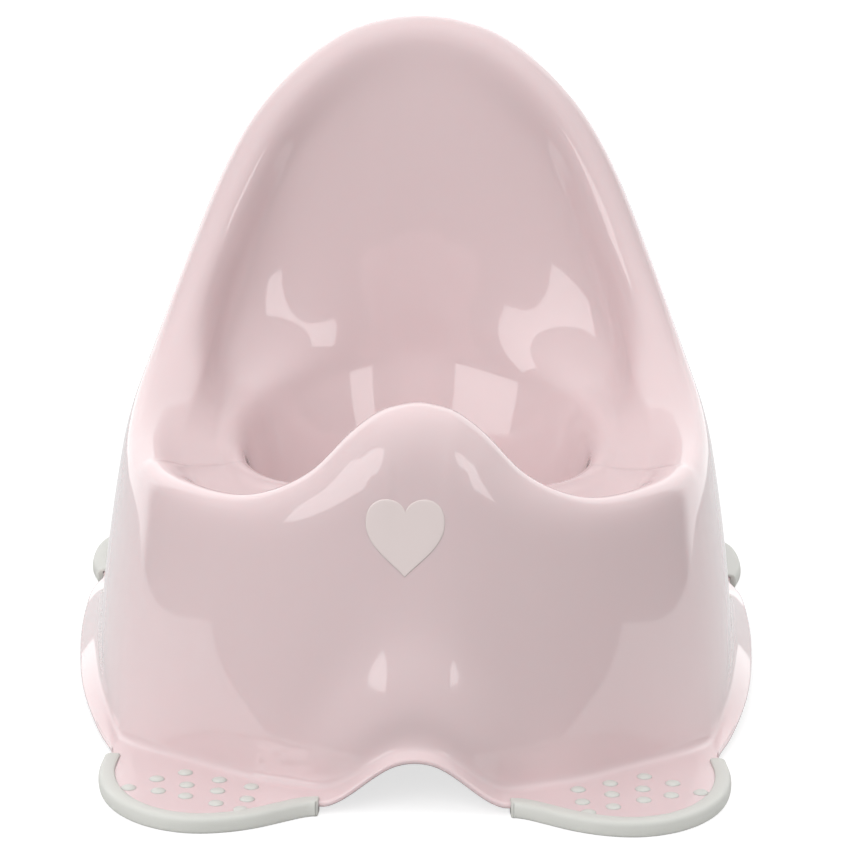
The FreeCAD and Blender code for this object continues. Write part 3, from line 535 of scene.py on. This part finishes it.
def shell_mesh():
    KT = (3, 4)
    A = dense(top, *KT)
    B = dense(under, *KT)
    nu = A.shape[0]
    # rounded free edge: last stretch of both skins pulled in, a half round between them
    R = 0.5*WALL
    la, lb = A[:, -1].copy(), B[:, -1].copy()
    tang = np.gradient(la, axis=0)
    tang[0] = (1, 0, 0)
    tang[-1] = (-1, 0, 0)
    up = la-lb
    up /= np.linalg.norm(up, axis=1)[:, None]
    out = np.cross(tang, up)
    out /= np.linalg.norm(out, axis=1)[:, None]
    mid = (la+lb)/2
    hh = np.linalg.norm(la-lb, axis=1)[:, None]/2
    rim = []
    for k in range(1, 12):
        a = math.pi/2-math.pi*k/12
        rim.append(mid+out*(R*math.cos(a)-R)+up*hh*math.sin(a))
    rim = np.stack(rim, 1)

    def drawn_in(P, grid):
        """The last two spans again, by arc length, ending R short of the free edge."""
        fine = dense(P, KT[0], 32)[:, -65:]
        seg = np.linalg.norm(np.diff(fine, axis=1), axis=2)
        far = np.concatenate([np.zeros((nu, 1)), np.cumsum(seg[:, ::-1], axis=1)], axis=1)[:, ::-1]
        keep = grid[:, :-2*KT[1]]
        m = 2*KT[1]
        rows = []
        for k in range(1, m+1):
            row = np.empty((nu, 3))
            for i in range(nu):
                d0 = far[i, 0]
                want = d0+(R-d0)*k/m
                for c in range(3):
                    row[i, c] = np.interp(want, far[i, ::-1], fine[i, ::-1, c])
            rows.append(row)
        return np.concatenate([keep, np.stack(rows, 1)], axis=1)
    A = drawn_in(top, A)
    B = drawn_in(under, B)
    sheet = np.concatenate([A, rim, B[:, ::-1]], axis=1)
    nv = sheet.shape[1]
    verts, faces = [], []
    idx = {}

    def vid(i, j, s):
        if i in (0, nu-1):
            s = 1
        key = (i, j, s)
        if key not in idx:
            p = sheet[i, j]
            idx[key] = len(verts)
            verts.append((0.0 if i in (0, nu-1) else s*p[0], p[1], p[2]))
        return idx[key]
    for s in (1, -1):
        for i in range(nu-1):
            for j in range(nv-1):
                q = [vid(i, j, s), vid(i+1, j, s), vid(i+1, j+1, s), vid(i, j+1, s)]
                faces.append(q if s > 0 else q[::-1])
    # bowl floor, top and underside, as rings closing on a centre point
    for j0, z in ((0, sheet[0, 0, 2]), (nv-1, sheet[0, nv-1, 2])):
        ring = [vid(i, j0, 1) for i in range(nu)]+[vid(i, j0, -1) for i in range(nu-2, 0, -1)]
        cen = np.mean([verts[v] for v in ring], axis=0)
        cur = ring
        for k in (0.86, 0.7, 0.54, 0.38, 0.24, 0.12):
            new = []
            for v in ring:
                p = np.array(verts[v])
                q = cen+(p-cen)*k
                new.append(len(verts))
                verts.append((q[0], q[1], z))
            for a in range(len(ring)):
                b = (a+1) % len(ring)
                faces.append([cur[a], cur[b], new[b], new[a]])
            cur = new
        c = len(verts)
        verts.append((cen[0], cen[1], z))
        for a in range(len(ring)):
            faces.append([cur[a], cur[(a+1) % len(ring)], c])
    return verts, faces


v, f = shell_mesh()
shell = make_object("potty_shell_moulding", v, f, pink, ["potty_shell"])


# ---------------------------------------------------------------- soft edges of the foot plates
def lip_point(s):
    k = 0
    while k < len(st)-2 and st[k+1] <= s:
        k += 1
    u = k+(s-st[k])/(st[k+1]-st[k])
    p, du, dv = surf(top, u, NV-1, True)
    return p, unit((du[1], -du[0], 0.0))


def smooth_loop(pts, per):
    """Closed Catmull-Rom through 2-D points flagged as smooth; corners flagged sharp keep their place."""
    out = []
    n = len(pts)
    for i in range(n):
        p0, p1, p2, p3 = (pts[(i-1) % n], pts[i], pts[(i+1) % n], pts[(i+2) % n])
        if p1[2] and p2[2]:
            for k in range(per):
                t = k/per
                m1 = ((p2[0]-p0[0])/2, (p2[1]-p0[1])/2)
                m2 = ((p3[0]-p1[0])/2, (p3[1]-p1[1])/2)
                h = (2*t**3-3*t**2+1, t**3-2*t**2+t, -2*t**3+3*t**2, t**3-t**2)
                out.append((h[0]*p1[0]+h[1]*m1[0]+h[2]*p2[0]+h[3]*m2[0],
                            h[0]*p1[1]+h[1]*m1[1]+h[2]*p2[1]+h[3]*m2[1]))
        else:
            out.append((p1[0], p1[1]))
    return out


def soft_edge(name, cad, s0, s1, sx):
    w, o, h, c = 4.3, 2.8, 1.5, 0.05
    zt, zb = PLATE+c, PLATE-WALL-c
    prof = [(-w, zt, 0), (-w-0.03, zt+0.3, 1), (-w+0.12, zt+0.75, 1), (-w+0.7, zt+1.1, 1), (-2.0, zt+1.25, 1),
            (0.2, zt+1.15, 1), (1.6, zt+0.7, 1), (2.4, zt-0.25, 1), (2.75, 4.2, 1), (2.8, 2.6, 1), (2.6, 1.2, 1),
            (2.1, 0.35, 1), (1.3, 0.0, 1), (0.4, 0.0, 0), (-2.2, 0.0, 0), (-w+0.7, 0.0, 1), (-w+0.15, 0.25, 1),
            (-w, 0.8, 1), (-w, 2.0, 0), (-w, zb, 0), (-w/2, zb, 0), (c, zb, 0), (c, (zb+zt)/2, 0), (c, zt, 0),
            (-w/2, zt, 0)]
    loop = smooth_loop(prof, 3)
    n = int((s1-s0)*2.4)
    stn = [s0+(s1-s0)*i/n for i in range(n+1)]
    rings = []
    for k, s in enumerate(stn):
        p, nn = lip_point(s)
        rings.append((p, nn))
    verts, faces = [], []
    # end rings: the skin is drawn in over the last millimetre so that the cut ends are softly rounded
    def ring(p, nn, shift, pull):
        t = (-nn[1], nn[0])
        out = []
        for a, z in loop:
            inside = (a > -w+0.02-0.03 and a <= c+1e-6 and zb-1e-6 <= z <= zt+1e-6)
            if pull and not inside:
                ca, cz = -0.8, 3.6
                d = math.hypot(a-ca, z-cz)
                f = max(0.0, 1-pull/d)
                a2, z2 = ca+(a-ca)*f, cz+(z-cz)*f
            else:
                a2, z2 = a, z
            out.append((p[0]+nn[0]*a2+t[0]*shift, p[1]+nn[1]*a2+t[1]*shift, z2))
        return out
    seq = []
    p, nn = rings[0]
    for sh, pl in ((0.0, 0.85), (0.12, 0.42), (0.42, 0.12), (0.9, 0.0)):
        seq.append(ring(p, nn, sh, pl))
    for p, nn in rings[1:-1]:
        seq.append(ring(p, nn, 0, 0))
    p, nn = rings[-1]
    for sh, pl in ((-0.9, 0.0), (-0.42, 0.12), (-0.12, 0.42), (0.0, 0.85)):
        seq.append(ring(p, nn, sh, pl))
    m = len(loop)
    for r in seq:
        for x, y, z in r:
            verts.append((sx*x, y, z))
    for k in range(len(seq)-1):
        for a in range(m):
            b = (a+1) % m
            faces.append([k*m+a, k*m+b, (k+1)*m+b, (k+1)*m+a])
    faces.append(list(range(m)))
    faces.append(list(range((len(seq)-1)*m, len(seq)*m)))
    ob = make_object(name, verts, faces, tpe, [cad])
    bm = bmesh.new()
    bm.from_mesh(ob.data)
    big = [fc for fc in bm.faces if len(fc.verts) > 4]
    bmesh.ops.triangulate(bm, faces=big)
    bm.to_mesh(ob.data)
    bm.free()
    es = ob.modifiers.new("edges", "WEIGHTED_NORMAL")
    es.keep_sharp = True
    return ob


soft_edge("front_right_soft_edge", "front_right_foot_edge", 13.6, 66.5, 1)
soft_edge("front_left_soft_edge", "front_left_foot_edge", 13.6, 66.5, -1)
soft_edge("rear_right_soft_edge", "rear_right_foot_edge", 125.5, 164.5, 1)
soft_edge("rear_left_soft_edge", "rear_left_foot_edge", 125.5, 164.5, -1)

# ---------------------------------------------------------------- grip dots
DOTS = [(110.5, -144.5), (98.7, -137), (97.3, -151.3), (109.1, -158.2), (97.2, -163.8), (83.7, -145.2),
        (83.9, -157.7), (83.9, -171.6), (69.7, -152.6), (71, -166.6), (73.2, -178.2), (121.9, -154.8)]
SOLE = [(60.5, -152.5), (63, -168.5), (69, -178.5), (84, -181.5), (101, -178.5), (113, -168.5), (123, -161.5),
        (128, -153.5), (124.5, -147.5), (111.5, -138.5), (98, -130.5), (82, -138.5)]


def grip_dots(name, cad, sx):
    verts, faces = [], []
    prof = [(0.0, 1.0), (0.7, 0.98), (1.4, 0.92), (2.0, 0.8), (2.5, 0.62), (2.85, 0.42), (3.1, 0.22), (3.25, 0.08),
            (3.3, 0.0), (2.6, 0.0), (2.0, 0.0), (2.0, -1.0), (2.0, -2.0), (2.0, -WALL-0.06)]
    n = 28
    for x, y in DOTS:
        prev = None
        for r, z in prof:
            if r == 0.0:
                ringv = [len(verts)]
                verts.append((sx*x, y, PLATE+0.05+z))
            else:
                ringv = list(range(len(verts), len(verts)+n))
                for k in range(n):
                    a = 2*math.pi*k/n
                    verts.append((sx*x+r*math.cos(a), y+r*math.sin(a), PLATE+0.05+z))
            if prev is not None:
                for k in range(n):
                    k2 = (k+1) % n
                    if len(prev) == 1:
                        faces.append([prev[0], ringv[k], ringv[k2]])
                    else:
                        faces.append([prev[k], ringv[k], ringv[k2], prev[k2]])
            prev = ringv
        faces.append(list(prev)[::-1])
    # sole under the plate
    m = len(SOLE)
    zt, zb = PLATE-WALL-0.05, PLATE-WALL-0.05-1.2
    cx, cy = sum(p[0] for p in SOLE)/m, sum(p[1] for p in SOLE)/m
    levels = [(1.0, zt), (1.0, zt-0.3), (1.0, zb+0.35), (0.985, zb+0.1), (0.97, zb)]
    rings = []
    per = 4
    dense_sole = smooth_loop([(x, y, 1) for x, y in SOLE], per)
    for k, z in levels:
        rings.append(list(range(len(verts), len(verts)+len(dense_sole))))
        for x, y in dense_sole:
            # kept a touch inside the plain outline of the solid
            q = 0.985*k
            verts.append((sx*(cx+(x-cx)*q), cy+(y-cy)*q, z))
    for a, b in zip(rings, rings[1:]):
        for k in range(len(a)):
            k2 = (k+1) % len(a)
            faces.append([a[k], b[k], b[k2], a[k2]])
    for ringv, z in ((rings[0], zt), (rings[-1], zb)):
        cur = ringv
        for q in (0.75, 0.5, 0.25):
            new = list(range(len(verts), len(verts)+len(ringv)))
            for v0 in ringv:
                x, y, _ = verts[v0]
                verts.append((sx*cx+(x-sx*cx)*q, cy+(y-cy)*q, z))
            for k in range(len(ringv)):
                k2 = (k+1) % len(ringv)
                faces.append([cur[k], new[k], new[k2], cur[k2]])
            cur = new
        c = len(verts)
        verts.append((sx*cx, cy, z))
        for k in range(len(ringv)):
            faces.append([cur[k], c, cur[(k+1) % len(ringv)]])
    ob = make_object(name, verts, faces, tpe, [cad])
    return ob


grip_dots("front_right_dots", "front_right_grip_dots", 1)
grip_dots("front_left_dots", "front_left_grip_dots", -1)


# ---------------------------------------------------------------- plain heart on the front wall
last_uv = [3.0, 24.0]


def wall_at(x, z):
    sg = 1 if x >= 0 else -1
    u, v = last_uv
    for it in range(14):
        p, du, dv = surf(top, u, v, True)
        ex, ez = abs(x)-p[0], z-p[2]
        det = du[0]*dv[2]-du[2]*dv[0]
        a = max(-1.5, min(1.5, (ex*dv[2]-ez*dv[0])/det))
        b = max(-1.5, min(1.5, (du[0]*ez-du[2]*ex)/det))
        u, v = max(0.0, u+a), max(20.5, min(28.5, v+b))
        if abs(a)+abs(b) < 1e-6:
            break
    last_uv[0], last_uv[1] = u, v
    p, n = normal(top, u, v)
    return (sg*p[0], p[1], p[2]), (-sg*n[0], -n[1], -n[2])


def heart():
    r, cx, cz = 17.0, -5.0, 118.0
    P = [(0, 0.62), (0.12, 1.05), (0.95, 1.12), (0.98, 0.38), (1.0, -0.22), (0.42, -0.55), (0, -1.0)]
    right = []
    for s in (0, 3):
        for k in range(18):
            t = k/18.0
            b = ((1-t)**3, 3*t*(1-t)**2, 3*t*t*(1-t), t**3)
            right.append((sum(b[i]*P[s+i][0] for i in range(4)), sum(b[i]*P[s+i][1] for i in range(4))))
    left = [(-x, y) for x, y in right[1:]][::-1]
    outline = right+[(0, -1.0)]+left
    m = len(outline)
    c0 = (0.0, 0.12)
    rings = [(0.0, 0.30), (0.15, 0.30), (0.3, 0.30), (0.45, 0.30), (0.6, 0.30), (0.75, 0.30), (0.88, 0.30),
             (0.955, 0.29), (0.985, 0.24), (1.0, 0.14), (1.0, 0.03)]
    verts, faces = [], []
    prev = None
    for q, h in rings:
        if q == 0.0:
            p, n = wall_at(cx+c0[0]*r, cz+c0[1]*r)
            cur = [len(verts)]
            verts.append(add(p, mul(n, h)))
        else:
            cur = list(range(len(verts), len(verts)+m))
            for x, z in outline:
                p, n = wall_at(cx+(c0[0]+(x-c0[0])*q)*r, cz+(c0[1]+(z-c0[1])*q)*r)
                verts.append(add(p, mul(n, h)))
        if prev is not None:
            for k in range(m):
                k2 = (k+1) % m
                if len(prev) == 1:
                    faces.append([prev[0], cur[k], cur[k2]])
                else:
                    faces.append([prev[k], cur[k], cur[k2], prev[k2]])
        prev = cur
    # back of the film
    back = None
    for q in (0.8, 0.6, 0.4, 0.2):
        cur = list(range(len(verts), len(verts)+m))
        for x, z in outline:
            p, n = wall_at(cx+(c0[0]+(x-c0[0])*q)*r, cz+(c0[1]+(z-c0[1])*q)*r)
            verts.append(add(p, mul(n, 0.03)))
        for k in range(m):
            k2 = (k+1) % m
            faces.append([prev[k], cur[k], cur[k2], prev[k2]])
        prev = cur
    p, n = wall_at(cx+c0[0]*r, cz+c0[1]*r)
    c = len(verts)
    verts.append(add(p, mul(n, 0.03)))
    for k in range(m):
        faces.append([prev[k], c, prev[(k+1) % m]])
    return make_object("front_heart_print", verts, faces, print_mat, ["front_emblem"])


heart()

# ---------------------------------------------------------------- floor, light, camera
bm = bmesh.new()
bmesh.ops.create_grid(bm, x_segments=2, y_segments=2, size=6.0)
me = bpy.data.meshes.new("studio_floor")
bm.to_mesh(me)
bm.free()
floor = bpy.data.objects.new("studio_floor", me)
bpy.context.scene.collection.objects.link(floor)
fm, fnt, fb = new_material("studio_white")
fco = node(fnt, "ShaderNodeTexCoord").outputs["Object"]
fnt.links.new(mixcol(fnt, noise(fnt, fco, 2.0, 1.0), lin((168, 168, 168)), lin((172, 172, 172))), fb.inputs["Base Color"])
fb.inputs["Roughness"].default_value = 0.9
fb.inputs["Specular IOR Level"].default_value = 0.1
tm, tnt, tb = new_material("studio_table_white")
tb.inputs["Base Color"].default_value = (0.9, 0.9, 0.9, 1.0)
tb.inputs["Roughness"].default_value = 0.9
fb.inputs["Emission Color"].default_value = (1.0, 1.0, 1.0, 1.0)
fb.inputs["Emission Strength"].default_value = 0.72
me.materials.append(fm)
floor.visible_glossy = False
floor.visible_diffuse = False
bm = bmesh.new()
bmesh.ops.create_grid(bm, x_segments=2, y_segments=2, size=1.0)
for v_ in bm.verts:
    v_.co.x *= TABLE_X
    v_.co.y = TABLE_Y0 if v_.co.y < 0.5-0.9 else (2.0 if v_.co.y > 0.5 else 1.0)
me = bpy.data.meshes.new("studio_table")
bm.to_mesh(me)
bm.free()
table = bpy.data.objects.new("studio_table", me)
bpy.context.scene.collection.objects.link(table)
me.materials.append(tm)
table.location.z = -0.0002
table.visible_camera = False
table.visible_shadow = False
table.visible_transmission = False

world = bpy.data.worlds.new("studio")
bpy.context.scene.world = world
world.use_nodes = True
wt = world.node_tree
for n_ in list(wt.nodes):
    wt.nodes.remove(n_)


def wmath(op, a, b=None):
    n_ = node(wt, "ShaderNodeMath", operation=op)
    for k_, v_ in ((0, a), (1, b)):
        if v_ is None:
            continue
        if isinstance(v_, (int, float)):
            n_.inputs[k_].default_value = v_
        else:
            wt.links.new(v_, n_.inputs[k_])
    return n_.outputs[0]


def wmap(v_, a, b, c, d_, smooth=True):
    n_ = node(wt, "ShaderNodeMapRange", interpolation_type="SMOOTHSTEP" if smooth else "LINEAR")
    for k_, x_ in (("From Min", a), ("From Max", b), ("To Min", c), ("To Max", d_)):
        n_.inputs[k_].default_value = x_
    wt.links.new(v_, n_.inputs["Value"])
    return n_.outputs["Result"]


sep = node(wt, "ShaderNodeSeparateXYZ")
wt.links.new(node(wt, "ShaderNodeTexCoord").outputs["Generated"], sep.inputs[0])
dx, dy, dz = sep.outputs
flat_len = wmath("SQRT", wmath("ADD", wmath("MULTIPLY", dx, dx), wmath("MULTIPLY", dy, dy)))
back_part = wmap(wmath("DIVIDE", dy, wmath("MAXIMUM", flat_len, 0.001)), BACK0, BACK1, 0.0, 1.0)
low = wmap(dz, 0.02, 0.55, DARK, MIDV)
high = wmap(dz, 0.5, 0.95, 0.0, TOPV-MIDV)
front_light = wmath("ADD", low, high)
behind = wmath("ADD", wmap(dz, 0.6, 0.95, BACKV, TOPV), 0.0)
sky = wmath("ADD", front_light, wmath("MULTIPLY", back_part, wmath("SUBTRACT", behind, front_light)))
seen = node(wt, "ShaderNodeLightPath").outputs["Is Camera Ray"]
sky = wmath("ADD", sky, wmath("MULTIPLY", seen, wmath("SUBTRACT", 1.0, sky)))
bg = node(wt, "ShaderNodeBackground")
bg.inputs["Color"].default_value = (1.0, 1.0, 1.0, 1.0)
wt.links.new(sky, bg.inputs["Strength"])
wout = node(wt, "ShaderNodeOutputWorld")
wt.links.new(bg.outputs[0], wout.inputs[0])


def area(name, loc, target, size, power, col=(1, 1, 1)):
    d = bpy.data.lights.new(name, "AREA")
    d.shape = "RECTANGLE"
    d.size, d.size_y = size
    d.energy = power
    d.color = col
    o = bpy.data.objects.new(name, d)
    bpy.context.scene.collection.objects.link(o)
    o.location = loc
    o.rotation_mode = "QUATERNION"
    o.rotation_quaternion = (Vector(target)-Vector(loc)).to_track_quat("-Z", "Y")
    return o


def softbox(name, az0, az1, el0, el1, dist, radiance):
    """Rectangle seen from the seat between two azimuths (0 = camera side, + = right) and two elevations."""
    az, el = math.radians((az0+az1)/2), math.radians((el0+el1)/2)
    c = Vector((math.sin(az)*math.cos(el), -math.cos(az)*math.cos(el), math.sin(el)))*dist
    w_ = 2*dist*math.tan(math.radians((az1-az0)/2))*math.cos(el)
    h_ = 2*dist*math.tan(math.radians((el1-el0)/2))
    base = Vector((0, 0, 0.12))
    return area(name, tuple(base+c), tuple(base), (w_, h_), radiance*math.pi*w_*h_)


left_box = softbox("left_softbox", -56, -22, 6, 23, 2.4, BOX_L)
right_box = softbox("right_softbox", 27, 39, 7, 20, 2.4, BOX_R)
for o_ in (left_box, right_box):
    o_.visible_diffuse = False
for o_ in (area("top_fill", (0.0, -0.55, 2.0), (0, 0.02, 0.12), (1.4, 0.9), FILL),
           area("side_fill_a", (-1.7, -0.9, 1.2), (0, 0.05, 0.18), (1.2, 1.0), SIDE),
           area("side_fill_b", (1.7, -0.9, 1.2), (0, 0.05, 0.18), (1.2, 1.0), SIDE*0.8),
           area("front_fill", (-0.6, -1.75, 1.35), (0, 0.0, 0.16), (1.8, 1.2), FRONT)):
    o_.visible_glossy = False

cam_data = bpy.data.cameras.new("camera")
cam = bpy.data.objects.new("camera", cam_data)
bpy.context.scene.collection.objects.link(cam)
bpy.context.scene.camera = cam
cam_data.sensor_width = 36.0
cam_data.lens = 182.95
cam_data.shift_x, cam_data.shift_y = 0.0082, -0.0080
cam_data.clip_start, cam_data.clip_end = 0.1, 50.0
pitch, roll = math.radians(17.0), math.radians(0.5)
d = Vector((0, math.cos(pitch), -math.sin(pitch)))
tgt = Vector((0, -0.0325, 0.1344))
cam.location = tgt-d*1.92
q = d.to_track_quat("-Z", "Y")
cam.rotation_mode = "QUATERNION"
cam.rotation_quaternion = q @ Matrix.Rotation(roll, 3, "Z").to_quaternion()
bpy.context.scene.view_settings.view_transform = "Standard"
